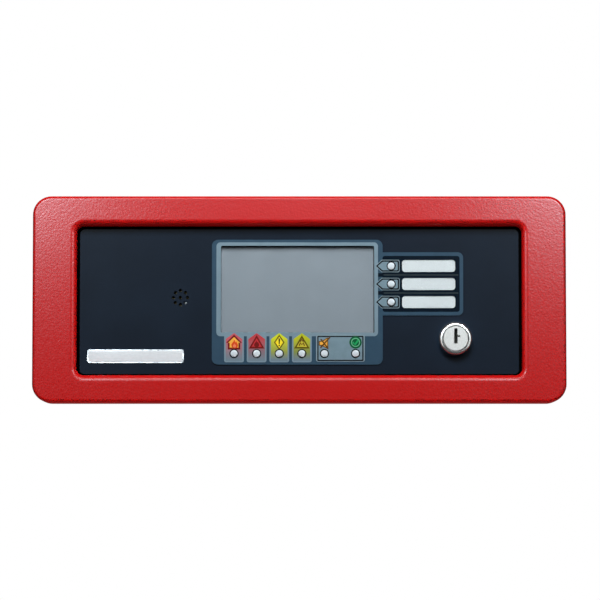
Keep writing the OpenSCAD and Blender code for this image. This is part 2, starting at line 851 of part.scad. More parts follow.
module lock_plug() color("silver") upright() translate(lock_at) difference() {
    union() {
        translate([0, 0, plug_shoulder + lock_fit]) rotate_extrude($fn = FINE) polygon([
            [0, 0], [plug_r, 0], [plug_r, plug_head_h - 0.3],
            [plug_r - 0.3, plug_head_h], [0, plug_head_h]]);
        bar(barrel_r, cam_front, plug_shoulder + 0.1);
        block([tail, tail], cam_back, cam_front + 1);
    }
    slab(plug_front - keyway_depth, plug_front + 1) keyway();
    bar(cam_screw_r, cam_back - 1, cam_back + cam_screw_l);
}

// A tall slot with a side groove for the key's ward.
module keyway() {
    translate([0, keyway_rise]) square([keyway_w, keyway_h], center = true);
    translate([0, ward_rise]) square([ward_reach, ward_h]);
}

module lock_cam() color("silver") upright() translate(lock_at) slab(cam_back, cam_front)
    difference() {
        union() {
            circle(cam_hub_r);
            translate([0, -cam_w / 2]) square([cam_reach - cam_w / 2, cam_w]);
            translate([cam_reach - cam_w / 2, 0]) circle(cam_w / 2);
        }
        square(tail + 2 * lock_fit, center = true);
    }

module cam_screw() color("silver") upright() translate(lock_at) difference() {
    union() {
        bar(cam_screw_head_r, cam_back - cam_screw_head_t, cam_back);
        bar(cam_screw_r, cam_back - 0.1, cam_back + cam_screw_l);
    }
    translate([-cam_screw_head_r, -0.5, cam_back - cam_screw_head_t - 1])
        cube([2 * cam_screw_head_r, 1, 2]);
}

// ---------------------------------------------------------------- the model

back_box();
cable_bushing();
rim_seal();
hinge_box_leaf();
hinge_pin();
earth_stud();
earth_nut();
door_shell();
hinge_door_leaf();
door_studs();
panel_nuts();
interface_panel();
overlay_spacer();
graphic_overlay();
label_windows();
name_badge();
display_tape();
touch_screen();
display_frame();
display_cell();
display_backlight();
display_pads();
display_ribbon();
ribbon_socket();
main_board();
board_standoffs();
board_screws();
status_leds();
label_leds();
status_lenses();
label_lenses();
sounder_ring();
sounder_disc();
sounder_ceramic();
sounder_lead_red();
sounder_lead_black();
lead_socket();
lead_plug();
processor_chip();
memory_chips();
capacitors();
power_coils();
terminal_headers();
terminal_plugs();
terminal_screws();
lock_body();
lock_washer();
lock_nut();
lock_plug();
lock_cam();
cam_screw();
label_strip_top();
label_strip_middle();
label_strip_bottom();
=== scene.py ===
"""The looks of the fire alarm panel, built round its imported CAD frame.

Lengths are in metres. A place on the front is given as (x, z), and its level is its
distance out of the wall, so a point is (x, -level, z).
"""
import math
import random

import bmesh
import bpy
from mathutils import Matrix, Vector


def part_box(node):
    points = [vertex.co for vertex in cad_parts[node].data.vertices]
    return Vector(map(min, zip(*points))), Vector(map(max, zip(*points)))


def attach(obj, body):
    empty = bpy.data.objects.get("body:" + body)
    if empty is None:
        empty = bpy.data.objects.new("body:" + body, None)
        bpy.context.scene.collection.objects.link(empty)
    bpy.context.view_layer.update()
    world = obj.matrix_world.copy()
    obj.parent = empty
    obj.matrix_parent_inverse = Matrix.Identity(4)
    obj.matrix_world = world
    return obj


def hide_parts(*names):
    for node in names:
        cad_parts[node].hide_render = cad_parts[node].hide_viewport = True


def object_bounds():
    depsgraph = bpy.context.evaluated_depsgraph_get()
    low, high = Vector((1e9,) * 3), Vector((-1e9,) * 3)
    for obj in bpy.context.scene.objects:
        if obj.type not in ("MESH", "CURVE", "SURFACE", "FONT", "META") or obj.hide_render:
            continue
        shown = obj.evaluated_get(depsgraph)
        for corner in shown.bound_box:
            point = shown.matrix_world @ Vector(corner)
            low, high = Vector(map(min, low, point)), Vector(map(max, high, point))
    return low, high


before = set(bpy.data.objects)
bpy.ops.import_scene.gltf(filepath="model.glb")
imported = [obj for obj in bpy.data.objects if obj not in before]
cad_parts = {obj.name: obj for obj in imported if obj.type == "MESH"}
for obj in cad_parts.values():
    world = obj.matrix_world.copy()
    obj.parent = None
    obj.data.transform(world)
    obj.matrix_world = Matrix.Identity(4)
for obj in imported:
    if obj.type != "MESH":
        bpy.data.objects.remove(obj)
CAD_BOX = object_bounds()

MM = 0.001
DOOR = "front_door"
BOX = "wall_box"
SHEET = 1.5 * MM         # the steel of the box and the door
STAND_UP = Matrix.Rotation(math.radians(90), 4, "X")


# -------------------- places from the frame

def front_of(node):
    """The level of a node's foremost face."""
    return -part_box(node)[0].y


def back_of(node):
    """The level of a node's rearmost face."""
    return -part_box(node)[1].y


def span(node):
    """(left, right, bottom, top) of a node, seen from the front."""
    low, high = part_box(node)
    return low.x, high.x, low.z, high.z


def solids(node):
    """The (low, high) boxes of a node's separate solids, from left to right and bottom to top."""
    mesh = bmesh.new()
    mesh.from_mesh(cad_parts[node].data)
    bmesh.ops.remove_doubles(mesh, verts=mesh.verts, dist=1e-7)
    left, boxes = set(mesh.verts), []
    while left:
        group, front = set(), [left.pop()]
        while front:
            vert = front.pop()
            group.add(vert)
            for edge in vert.link_edges:
                other = edge.other_vert(vert)
                if other in left:
                    left.remove(other)
                    front.append(other)
        points = [v.co for v in group]
        boxes.append((Vector(map(min, *points)), Vector(map(max, *points))))
    mesh.free()
    return sorted(boxes, key=lambda b: (round(b[0].x, 5), round(b[0].z, 5)))


def middles(node):
    """The (x, z) middles of a node's separate solids."""
    return [((low.x + high.x) / 2, (low.z + high.z) / 2) for low, high in solids(node)]


# -------------------- camera, light, floor

FACE = front_of("door_shell")
FOCAL = 186.9           # mm, on a 36 mm sensor
CAMERA_DISTANCE = 2.0
CAMERA_RISE = -4        # degrees: the camera looks up a little
AIM = Vector((0.00045, -FACE, -0.0006))     # close to the middle of the door's face
FRONT = (0, -FACE, 0)


def make_camera():
    data = bpy.data.cameras.new("camera")
    data.lens = FOCAL
    data.sensor_width = 36
    camera = bpy.data.objects.new("camera", data)
    bpy.context.scene.collection.objects.link(camera)
    rise = math.radians(CAMERA_RISE)
    back = Vector((0, -math.cos(rise), math.sin(rise)))
    camera.location = AIM + back * CAMERA_DISTANCE
    camera.rotation_mode = "QUATERNION"
    camera.rotation_quaternion = (-back).to_track_quat("-Z", "Y")
    bpy.context.scene.camera = camera


def area_light(name, place, target, size, power, colour=(1, 1, 1)):
    """A soft light that the camera can't see, turned towards its target."""
    data = bpy.data.lights.new(name, "AREA")
    data.shape = "RECTANGLE"
    data.size, data.size_y = size
    data.energy = power
    data.color = colour
    light = bpy.data.objects.new(name, data)
    light.location = place
    aim = Vector(target) - Vector(place)
    light.rotation_mode = "QUATERNION"
    light.rotation_quaternion = aim.to_track_quat("-Z", "Y")
    light.visible_camera = False
    bpy.context.scene.collection.objects.link(light)
    return light


def make_lights():
    """A soft light above and in front. A fill below, and two lights behind for the other
    views, leave no reflection. The rest show only as reflections: small ones for the sheen
    along the top, and a broad one each side for the chrome."""
    area_light("key_above", (0, -0.72, 0.66), FRONT, size=(0.45, 0.3), power=11.5)
    fill = area_light("fill_below", (0, -0.085, -0.31), (0, -0.08, 0), size=(0.7, 0.14), power=0.65)
    fill.visible_glossy = False
    for name, side, power in (("left", -1, 6.2), ("middle", 0, 0.6), ("right", 1, 6.2)):
        sheen = area_light(f"sheen_{name}", (side * 0.24, -0.44, 0.17), (side * 0.15, -FACE, 0.05),
                           size=(0.10, 0.09), power=power, colour=(0.78, 0.91, 1))
        sheen.visible_diffuse = False
    for name, side in (("left", -1), ("right", 1)):
        wall = area_light(f"wall_{name}", (side * 0.8, -0.7, -0.05), FRONT, size=(0.7, 0.9), power=3)
        wall.visible_diffuse = False
        back = area_light(f"back_{name}", (side * 0.5, 1.1, 0.7), (0, 0, 0), size=(0.6, 0.5), power=9)
        back.visible_glossy = False


def make_world():
    """A dim surround, which the camera itself sees as plain white."""
    world = bpy.data.worlds.new("studio")
    world.use_nodes = True
    nodes, links = world.node_tree.nodes, world.node_tree.links
    background = nodes["Background"]
    background.inputs["Color"].default_value = (0.93, 0.95, 1.0, 1)
    background.inputs["Strength"].default_value = 0.075
    seen = nodes.new("ShaderNodeBackground")
    seen.inputs["Color"].default_value = (1, 1, 1, 1)
    path = nodes.new("ShaderNodeLightPath")
    mix = nodes.new("ShaderNodeMixShader")
    links.new(path.outputs["Is Camera Ray"], mix.inputs[0])
    links.new(background.outputs[0], mix.inputs[1])
    links.new(seen.outputs[0], mix.inputs[2])
    links.new(mix.outputs[0], nodes["World Output"].inputs["Surface"])
    bpy.context.scene.world = world
    bpy.context.scene.view_settings.view_transform = "Standard"


def make_floor(material):
    """A pale floor that neither mirrors nor tints the part."""
    drop, reach = 0.26, 4
    mesh = bpy.data.meshes.new("floor")
    corners = [(-reach, -reach), (reach, -reach), (reach, reach), (-reach, reach)]
    low = CAD_BOX[0].z - drop
    mesh.from_pydata([(x, y, low) for x, y in corners], [], [(0, 1, 2, 3)])
    floor = bpy.data.objects.new("floor", mesh)
    bpy.context.scene.collection.objects.link(floor)
    mesh.materials.append(material)
    floor.visible_glossy = floor.visible_diffuse = False


# -------------------- material building blocks

def srgb(red, green, blue):
    """A colour given as 0 to 255 on screen, as the shader wants it."""
    def linear(value):
        value /= 255
        return value / 12.92 if value <= 0.04045 else ((value + 0.055) / 1.055) ** 2.4
    return (linear(red), linear(green), linear(blue), 1)


class Surface:
    """A material with its shader, and short ways of adding detail to it."""

    def __init__(self, name, colour, rough=0.5, metal=0.0, specular=0.5):
        self.material = bpy.data.materials.new(name)
        self.material.use_nodes = True
        self.nodes = self.material.node_tree.nodes
        self.links = self.material.node_tree.links
        self.shader = self.nodes["Principled BSDF"]
        self.colour = colour
        self.put("Base Color", colour)
        self.put("Roughness", rough)
        self.put("Metallic", metal)
        self.put("Specular IOR Level", specular)
        self.place = self.nodes.new("ShaderNodeTexCoord").outputs["Object"]
        self.height = None

    def put(self, socket, value):
        self.shader.inputs[socket].default_value = value

    def noise(self, size, detail=2.0, stretch=(1, 1, 1)):
        """Noise whose features are about size metres across."""
        place = self.place
        if stretch != (1, 1, 1):
            mapping = self.nodes.new("ShaderNodeMapping")
            mapping.inputs["Scale"].default_value = stretch
            self.links.new(place, mapping.inputs["Vector"])
            place = mapping.outputs["Vector"]
        node = self.nodes.new("ShaderNodeTexNoise")
        node.inputs["Scale"].default_value = 1 / size
        node.inputs["Detail"].default_value = detail
        self.links.new(place, node.inputs["Vector"])
        return node.outputs["Fac"]

    def cells(self, size):
        """The distance to the nearest of points about size metres apart."""
        node = self.nodes.new("ShaderNodeTexVoronoi")
        node.inputs["Scale"].default_value = 1 / size
        self.links.new(self.place, node.inputs["Vector"])
        return node.outputs["Distance"]

    def ramp(self, factor, stops):
        node = self.nodes.new("ShaderNodeValToRGB")
        while len(node.color_ramp.elements) < len(stops):
            node.color_ramp.elements.new(0.5)
        for element, (position, colour) in zip(node.color_ramp.elements, stops):
            element.position = position
            element.color = colour
        self.links.new(factor, node.inputs["Fac"])
        return node.outputs["Color"]

    def mottle(self, size, amount, detail=3.0, stretch=(1, 1, 1)):
        """Lets the colour wander a little either side of its own."""
        factor = self.noise(size, detail, stretch)
        dark = tuple(c * (1 - amount) for c in self.colour[:3]) + (1,)
        light = tuple(min(1, c * (1 + amount)) for c in self.colour[:3]) + (1,)
        self.links.new(self.ramp(factor, [(0.3, dark), (0.7, light)]), self.shader.inputs["Base Color"])

    def rough(self, low, high, size, stretch=(1, 1, 1)):
        node = self.nodes.new("ShaderNodeMapRange")
        node.inputs["To Min"].default_value = low
        node.inputs["To Max"].default_value = high
        node.inputs["From Min"].default_value = 0.3
        node.inputs["From Max"].default_value = 0.7
        self.links.new(self.noise(size, 2, stretch), node.inputs["Value"])
        self.links.new(node.outputs["Result"], self.shader.inputs["Roughness"])

    def bump(self, factor, depth, strength=1.0):
        """Raises the surface by up to depth metres. Later calls add to earlier ones."""
        node = self.nodes.new("ShaderNodeBump")
        node.inputs["Strength"].default_value = strength
        node.inputs["Distance"].default_value = depth
        self.links.new(factor, node.inputs["Height"])
        if self.height:
            self.links.new(self.height, node.inputs["Normal"])
        self.height = node.outputs["Normal"]
        self.links.new(self.height, self.shader.inputs["Normal"])


# -------------------- materials

def red_coat():
    """Satin powder coat with a fine, close wrinkle."""
    s = Surface("red_coat", (0.50, 0.003, 0.002, 1), 0.36, 0, 0.12)
    s.mottle(0.0011, 0.06)
    s.rough(0.28, 0.36, 0.0009)
    s.bump(s.noise(0.0013, 2), 0.00013, 0.7)
    s.bump(s.noise(0.0005, 2), 0.00004, 0.5)
    return s.material


def dark_coat():
    s = Surface("dark_coat", srgb(19, 29, 42), 0.5, 0, 0.02)
    s.mottle(0.03, 0.10)
    s.rough(0.44, 0.56, 0.0008)
    s.bump(s.noise(0.0007, 3), 0.00003, 0.45)
    return s.material


def film(name, colour, spread=0.05, specular=0.035):
    """Printed polyester with a velvet face."""
    s = Surface(name, colour, 0.42, 0, specular)
    s.mottle(0.006, spread)
    s.rough(0.36, 0.5, 0.001)
    s.bump(s.noise(0.0003, 2), 0.000008, 0.4)
    return s.material


def faded_film(name, top, middle, bottom, high, low):
    """Print that fades from one colour to another, downwards."""
    s = Surface(name, top, 0.42, 0, 0.06)
    split = s.nodes.new("ShaderNodeSeparateXYZ")
    s.links.new(s.place, split.inputs["Vector"])
    part = s.nodes.new("ShaderNodeMapRange")
    part.inputs["From Min"].default_value = low
    part.inputs["From Max"].default_value = high
    s.links.new(split.outputs["Z"], part.inputs["Value"])
    shade = s.ramp(part.outputs["Result"], [(0.1, bottom), (0.35, middle), (0.85, top)])
    s.links.new(shade, s.shader.inputs["Base Color"])
    s.rough(0.36, 0.5, 0.001)
    s.bump(s.noise(0.0003, 2), 0.000008, 0.4)
    return s.material


def clear_film(name, colour, alpha, rough):
    s = Surface(name, colour, rough, 0, 0.5)
    s.put("Alpha", alpha)
    s.rough(rough * 0.8, rough * 1.25, 0.01)
    s.bump(s.noise(0.004, 2), 0.000002, 0.1)
    return s.material


def label_card():
    s = Surface("label_card", srgb(222, 231, 233), 0.75, 0, 0.3)
    s.mottle(0.0012, 0.035, 5, (1, 1, 3))
    s.bump(s.noise(0.0004, 4, (1, 1, 4)), 0.00002, 0.5)
    return s.material


def unlit_display():
    """A liquid crystal cell with its backlight off: grey, a little uneven."""
    s = Surface("unlit_display", srgb(168, 181, 192), 0.5, 0, 0.1)
    s.mottle(0.028, 0.03, 2)
    s.bump(s.noise(0.0003, 1), 0.000002, 0.1)
    return s.material


def polished_chrome():
    s = Surface("polished_chrome", (0.5, 0.49, 0.474, 1), 0.2, 0.94)
    s.mottle(0.0025, 0.05)
    s.rough(0.17, 0.27, 0.002)
    s.bump(s.noise(0.0012, 3), 0.000012, 0.3)
    return s.material


def cast_chrome():
    """The plug's face: chrome over a slightly pitted casting."""
    s = Surface("cast_chrome", (0.44, 0.435, 0.415, 1), 0.45, 0.15, 0.2)
    s.mottle(0.0006, 0.14)
    s.rough(0.4, 0.5, 0.0008)
    s.bump(s.noise(0.0006, 2), 0.00004, 0.5)
    return s.material


def plated_steel(name="plated_steel", colour=(0.62, 0.63, 0.64, 1)):
    s = Surface(name, colour, 0.34, 1)
    s.mottle(0.004, 0.10)
    s.rough(0.25, 0.45, 0.002, (1, 6, 1))
    s.bump(s.noise(0.0009, 3, (1, 5, 1)), 0.00001, 0.4)
    return s.material


def brushed_steel():
    """Hinge steel, brushed along its length."""
    s = Surface("brushed_steel", (0.56, 0.57, 0.59, 1), 0.36, 1)
    s.mottle(0.0015, 0.10, 3, (4, 4, 0.15))
    s.rough(0.28, 0.48, 0.001, (4, 4, 0.2))
    s.bump(s.noise(0.0008, 3, (4, 4, 0.15)), 0.00001, 0.5)
    return s.material


def brass():
    s = Surface("brass", (0.78, 0.55, 0.22, 1), 0.3, 1)
    s.mottle(0.003, 0.14)
    s.rough(0.2, 0.42, 0.002)
    s.bump(s.noise(0.0005, 2, (1, 1, 6)), 0.000008, 0.4)
    return s.material


def shaded_brass():
    """The sounder's disc, seen only through the grille: brass painted far darker than its own colour,
    as painted shade.
    """
    s = Surface("shaded_brass", (0.03, 0.024, 0.012, 1), 0.45, 1)
    s.mottle(0.002, 0.25)
    s.rough(0.3, 0.5, 0.0015)
    s.bump(s.noise(0.0005, 2), 0.000008, 0.4)
    return s.material


def copper_flash():
    s = Surface("copper_flash", (0.72, 0.40, 0.25, 1), 0.34, 1)
    s.mottle(0.002, 0.12)
    s.bump(s.noise(0.0006, 2), 0.00001, 0.4)
    return s.material


def foam():
    s = Surface("foam", (0.012, 0.012, 0.013, 1), 0.95, 0, 0.2)
    s.mottle(0.0007, 0.5)
    s.bump(s.cells(0.0005), 0.00025, 0.8)
    return s.material


def moulded(name, colour, rough=0.45, spread=0.07):
    """Moulded plastic with a fine spark-eroded grain."""
    s = Surface(name, colour, rough, 0, 0.45)
    s.mottle(0.002, spread)
    s.rough(rough * 0.85, rough * 1.15, 0.0015)
    s.bump(s.noise(0.0004, 2), 0.00002, 0.35)
    return s.material


def solder_mask():
    s = Surface("solder_mask", (0.008, 0.105, 0.038, 1), 0.28, 0, 0.5)
    s.mottle(0.0035, 0.1)
    s.rough(0.2, 0.36, 0.004)
    s.bump(s.noise(0.0011, 3), 0.000015, 0.4)
    return s.material


def tin():
    s = Surface("tin", (0.66, 0.66, 0.65, 1), 0.3, 1)
    s.mottle(0.0006, 0.12)
    s.bump(s.noise(0.0005, 2), 0.00002, 0.4)
    return s.material


def amber_film():
    s = Surface("amber_film", (0.50, 0.20, 0.03, 1), 0.25, 0, 0.5)
    s.mottle(0.0012, 0.3, 2, (8, 0.3, 0.3))
    s.bump(s.noise(0.001, 2, (6, 0.3, 0.3)), 0.00001, 0.4)
    return s.material


def silvered_ceramic():
    s = Surface("silvered_ceramic", (0.55, 0.54, 0.52, 1), 0.45, 0.6)
    s.mottle(0.0008, 0.18)
    s.bump(s.noise(0.0005, 4), 0.00002, 0.5)
    return s.material


def frosted_lens():
    s = Surface("frosted_lens", srgb(202, 213, 219), 0.35, 0, 0.3)
    s.mottle(0.0012, 0.03)
    s.put("Subsurface Weight", 0.15)
    s.put("Subsurface Radius", (0.001, 0.001, 0.001))
    s.bump(s.noise(0.0004, 2), 0.00001, 0.3)
    return s.material


def floor_paint():
    s = Surface("floor_paint", (0.80, 0.80, 0.80, 1), 0.8, 0, 0.2)
    s.put("Emission Color", (1, 1, 1, 1))
    s.put("Emission Strength", 0.85)
    s.mottle(0.2, 0.02)
    return s.material


# -------------------- shapes

def link(name, mesh, material, body, smooth=30):
    """Makes a finished piece of a mesh: linked, shaded, painted and riding on its body."""
    piece = bpy.data.objects.new(name, mesh)
    bpy.context.scene.collection.objects.link(piece)
    for polygon in mesh.polygons:
        polygon.use_smooth = True
    mesh.set_sharp_from_angle(angle=math.radians(smooth))
    mesh.materials.append(material)
    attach(piece, body)
    return piece


def finished(mesh, name, material, smooth=30):
    """Makes a piece that rides on the door of a bmesh, which is used up."""
    data = bpy.data.meshes.new(name)
    mesh.to_mesh(data)
    mesh.free()
    return link(name, data, material, DOOR, smooth)


def arc(x, z, radius, start, end, steps):
    """Points along an arc about (x, z), from one angle to another in degrees."""
    turns = [math.radians(start + (end - start) * i / steps) for i in range(steps + 1)]
    return [(x + radius * math.cos(t), z + radius * math.sin(t)) for t in turns]


def rectangle(left, right, low, high, radius=0.0, steps=6):
    """The outline of a rectangle with round corners, counter-clockwise."""
    if radius == 0:
        return [(left, low), (right, low), (right, high), (left, high)]
    points = []
    corners = [(right - radius, high - radius), (left + radius, high - radius),
               (left + radius, low + radius), (right - radius, low + radius)]
    for k, (x, z) in enumerate(corners):
        points += arc(x, z, radius, 90 * k, 90 * k + 90, steps)
    return points


def circle(x, z, radius, steps=48):
    turns = [2 * math.pi * i / steps for i in range(steps)]
    return [(x + radius * math.cos(t), z + radius * math.sin(t)) for t in turns]


def moved(outline, x, z, size=1.0):
    """An outline made larger and then put at (x, z)."""
    return [(x + size * px, z + size * pz) for px, pz in outline]


def stroke(points, width):
    """The outline of a line of even width through the points."""
    left, right = [], []
    for i, (x, z) in enumerate(points):
        before = Vector(points[max(i - 1, 0)])
        after = Vector(points[min(i + 1, len(points) - 1)])
        way = (after - before).normalized()
        left.append((x - way.y * width / 2, z + way.x * width / 2))
        right.append((x + way.y * width / 2, z - way.x * width / 2))
    return left + right[::-1]


def flat(name, outlines, low, high, material, body=DOOR, edge=0.0):
    """A flat piece between two levels. An outline inside another is a hole."""
    curve = bpy.data.curves.new(name, "CURVE")
    curve.dimensions = "2D"
    curve.fill_mode = "BOTH"
    for outline in outlines:
        spline = curve.splines.new("POLY")
        spline.points.add(len(outline) - 1)
        for point, (x, z) in zip(spline.points, outline):
            point.co = (x / MM, z / MM, 0, 1)
        spline.use_cyclic_u = True
    curve.extrude = (high - low) / MM / 2 - edge / MM
    curve.bevel_depth = edge / MM
    curve.bevel_resolution = 1
    curve.offset = -edge / MM
    maker = bpy.data.objects.new(name + "_outline", curve)
    mesh = bpy.data.meshes.new_from_object(maker)
    mesh.name = name
    bpy.data.objects.remove(maker)
    bpy.data.curves.remove(curve)
    mesh.transform(Matrix.Translation((0, -(low + high) / 2, 0)) @ STAND_UP @ Matrix.Scale(MM, 4))
    joined = bmesh.new()
    joined.from_mesh(mesh)
    bmesh.ops.remove_doubles(joined, verts=joined.verts, dist=1e-7)
    joined.to_mesh(mesh)
    joined.free()
    return link(name, mesh, material, body)


def turned(name, profile, place, material, steps):
    """A piece of the door turned about an axis out of the wall: (radius, level) points."""
    mesh = bmesh.new()
    rings = []
    for radius, level in profile:
        points = circle(*place, radius, steps) if radius else [place]
        rings.append([mesh.verts.new((x, -level, z)) for x, z in points])
    for one, two in zip(rings, rings[1:]):
        for i in range(steps):
            j = (i + 1) % steps
            corners = [one[i % len(one)], one[j % len(one)], two[j % len(two)], two[i % len(two)]]
            kept = list(dict.fromkeys(corners))
            if len(kept) > 2:
                mesh.faces.new(kept)
    if len(rings[0]) > 1 and profile[0] == profile[-1]:
        bmesh.ops.remove_doubles(mesh, verts=mesh.verts, dist=1e-8)
    bmesh.ops.recalc_face_normals(mesh, faces=mesh.faces)
    return finished(mesh, name, material)


def add_block(mesh, low, high):
    """Adds a block to a bmesh."""
    size = [high[i] - low[i] for i in range(3)]
    middle = [(high[i] + low[i]) / 2 for i in range(3)]
    bmesh.ops.create_cube(mesh, size=1, matrix=Matrix.Translation(middle) @ Matrix.Diagonal((*size, 1)))


def blocks(name, boxes, material, edge):
    """Many small blocks with softened edges, as one piece."""
    mesh = bmesh.new()
    for low, high in boxes:
        add_block(mesh, low, high)
    bmesh.ops.bevel(mesh, geom=mesh.edges[:], offset=edge, segments=1, affect="EDGES")
    finished(mesh, name, material)


# -------------------- printed overlay

INK = 0.03 * MM          # thickness of a layer of print
PRINT = front_of("graphic_overlay")
LENSES = middles("status_lenses")
LABEL_LENSES = middles("label_lenses")
# The part of each clear label window that the print leaves free.
LABELS = [(low.x + 0.1 * MM, high.x - 0.4 * MM, low.z + 0.25 * MM, high.z - 0.15 * MM)
          for low, high in solids("label_windows")]
LENS_R = 2.2 * MM
LENS_HOLE = 2.55 * MM

# The display window, from the edges of the touch screen behind it.
TOUCH = span("touch_screen")
WINDOW = (TOUCH[0] + 3.35 * MM, TOUCH[1] - 3.35 * MM, TOUCH[2] + 7.8 * MM, TOUCH[3] - 3.2 * MM)
OVERLAY = span("graphic_overlay")
BLOCK_RIGHT = OVERLAY[0] + 110 * MM
FRAME_EDGE = 2.6 * MM    # width of the light frame around the window
FRAME = (WINDOW[0] - FRAME_EDGE - 0.3 * MM, WINDOW[1] + FRAME_EDGE - 0.2 * MM,
         WINDOW[2] - FRAME_EDGE + 0.4 * MM, WINDOW[3] + FRAME_EDGE - 0.4 * MM)
TAB_W = 12.7 * MM
TAB_LOW = LENSES[0][1] - 5.6 * MM
ICON_RISE = 7.2 * MM     # an icon's middle, above its light
BORDER = 2.3 * MM        # the blue border of the label block


def layer(name, outlines, order, material):
    """One layer of print on the overlay. Higher orders lie over lower ones."""
    low = PRINT + order * INK * 0.6
    flat(name, outlines, low, low + INK, material)


def print_label_field(inks):
    """The dark field around the labels and its thin dividers."""
    labels = [rectangle(*label, radius=2.0 * MM) for label in LABELS]
    holes = [circle(x, z, LENS_HOLE) for x, z in LABEL_LENSES]
    lows = [label[2] for label in LABELS]
    highs = [label[3] for label in LABELS]
    right = OVERLAY[1] - BORDER
    low, high = min(lows) - 2.45 * MM, max(highs) + 2.6 * MM
    field = rectangle(BLOCK_RIGHT - 0.1 * MM, right, low, high, radius=1.6 * MM)
    layer("label_field", [field] + labels + holes, 0, inks["dark"])
    left = BLOCK_RIGHT + 0.6 * MM
    for i in (0, 1):
        middle = (highs[i] + lows[i + 1]) / 2
        line = rectangle(left, right - 0.8 * MM, middle - 0.32 * MM, middle + 0.32 * MM, 0.3 * MM, 3)
        layer(f"label_divider_{i + 1}", [line], 1, inks["divider"])
        gap = rectangle(FRAME[1] - 0.1 * MM, BLOCK_RIGHT, middle - 1.2 * MM, middle + 1.2 * MM)
        layer(f"label_gap_{i + 1}", [gap], 0, inks["dark"])


def print_window_frame(inks):
    """The light frame around the window, and a black border on the glass behind it. The strip of it
    left inside the window, widest along the top, is painted shade for the shadow of the window's edge.
    """
    ring = rectangle(*FRAME, radius=2.5 * MM)
    window = rectangle(*WINDOW, radius=0.8 * MM)
    layer("window_frame", [ring, window], 1, inks["frame"])
    left, right, low, high = WINDOW
    border = rectangle(left - MM, right + MM, low - MM, high + MM, 1 * MM)
    # painted shade: the black left inside the window is 0.95 mm at the top, 0.45 mm right, 0.15 mm left
    # and 0.1 mm at the bottom
    clear = rectangle(left + 0.15 * MM, right - 0.45 * MM, low + 0.1 * MM, high - 0.95 * MM, 0.3 * MM)
    level = front_of("touch_screen")
    flat("window_shade_border", [border, clear], level, level + INK, inks["black"])


def print_tab(i, inks):
    """The field of one alarm light: a light border around a peaked, fading field."""
    x, z = LENSES[i]
    half = TAB_W / 2
    hole = circle(x, z, LENS_HOLE)
    border = rectangle(x - half, x + half, TAB_LOW, FRAME[2] + 2.6 * MM, 1.2 * MM)
    layer(f"alarm_tab_{i + 1}", [border, hole], 2, inks["frame"])
    inset = 1.0 * MM
    shoulder, peak = z + 9.3 * MM, z + 13.2 * MM
    left, right, low = x - half + inset, x + half - inset, TAB_LOW + 0.8 * MM
    field = [(left, low), (right, low), (right, shoulder), (x, peak), (left, shoulder)]
    layer(f"alarm_field_{i + 1}", [field, hole], 3, inks["alarm"][i])


def print_pair_box(inks):
    """The box that the last two lights share. Its line runs nearer to the lower edge."""
    (left, z), (right, _) = LENSES[4:6]
    outer = (left - 5.4 * MM, right + 5.9 * MM, TAB_LOW + 0.4 * MM, z + 12.2 * MM)
    inner, fill = ((outer[0] + inset, outer[1] - inset, outer[2] + inset - 0.4 * MM,
                    outer[3] - inset) for inset in (0.75 * MM, 1.6 * MM))
    holes = [circle(x, z, LENS_HOLE) for x in (left, right)]
    layer("pair_border", [rectangle(*outer, radius=1.3 * MM)] + holes, 2, inks["edge"])
    layer("pair_line", [rectangle(*inner, radius=0.5 * MM)] + holes, 3, inks["black"])
    layer("pair_fill", [rectangle(*fill, radius=0.3 * MM)] + holes, 4, inks["fill"])


def print_arrow(i, inks):
    """The arrow-shaped field of a label light, pointing at the display."""
    x, z = LABEL_LENSES[i]
    hole = circle(x, z, LENS_HOLE)

    def arrow(grow):
        tip, neck, right = x - 9.2 * MM - 1.3 * grow, x - 5.7 * MM - 0.45 * grow, x + 4.7 * MM + grow
        half = 3.2 * MM + grow
        corner = 0.9 * MM + grow * 0.4
        top = arc(right - corner, half - corner, corner, 90, 0, 6)
        bottom = [(px, -pz) for px, pz in reversed(top)]
        points = [(tip, 0), (neck, half)] + top + bottom + [(neck, -half)]
        return [(px, z + pz) for px, pz in points][::-1]

    layer(f"arrow_border_{i + 1}", [arrow(0.8 * MM), hole], 4, inks["edge"])
    layer(f"arrow_line_{i + 1}", [arrow(0.45 * MM), hole], 5, inks["black"])
    layer(f"arrow_fill_{i + 1}", [arrow(-0.45 * MM), hole], 6, inks["fill"])


def print_lens_rings(inks):
    """A black ring around each light."""
    for i, (x, z) in enumerate(LENSES + LABEL_LENSES):
        ring = [circle(x, z, 2.95 * MM), circle(x, z, LENS_R + 0.05 * MM)]
        layer(f"light_ring_{i + 1}", ring, 9, inks["black"])


# -------------------- symbols

def flame(size):
    """A plain flame, pointing up, about size high."""
    right = [(0.0, -0.5), (0.22, -0.44), (0.36, -0.26), (0.36, -0.04), (0.24, 0.14), (0.2, 0.3),
             (0.06, 0.16), (0.04, 0.34), (-0.06, 0.5)]
    left = [(-0.1, 0.3), (-0.26, 0.12), (-0.37, -0.08), (-0.34, -0.3), (-0.2, -0.44)]
    return [(x * size, z * size) for x, z in right + left]


def house(size, wall=0.0):
    """A gabled house, drawn in by wall on every side."""
    w, low, peak = 0.42 * size - wall, -0.48 * size + wall, 0.52 * size - 1.3 * wall
    over = 0.12 * size
    eave = 0.02 * size - over * 0.4
    return [(-w, low), (w, low), (w, eave), (w + over, eave), (0, peak), (-w - over, eave), (-w, eave)]


def triangle(size, inset=0.0):
    half, low, high = 0.56 * size - 1.7 * inset, -0.44 * size + inset, 0.52 * size - 2 * inset
    return [(-half, low), (half, low), (0, high)]


def diamond(size, inset=0.0):
    half, tall = 0.38 * size - inset, 0.56 * size - 1.5 * inset
    return [(0, -tall), (half, 0), (0, tall), (-half, 0)]


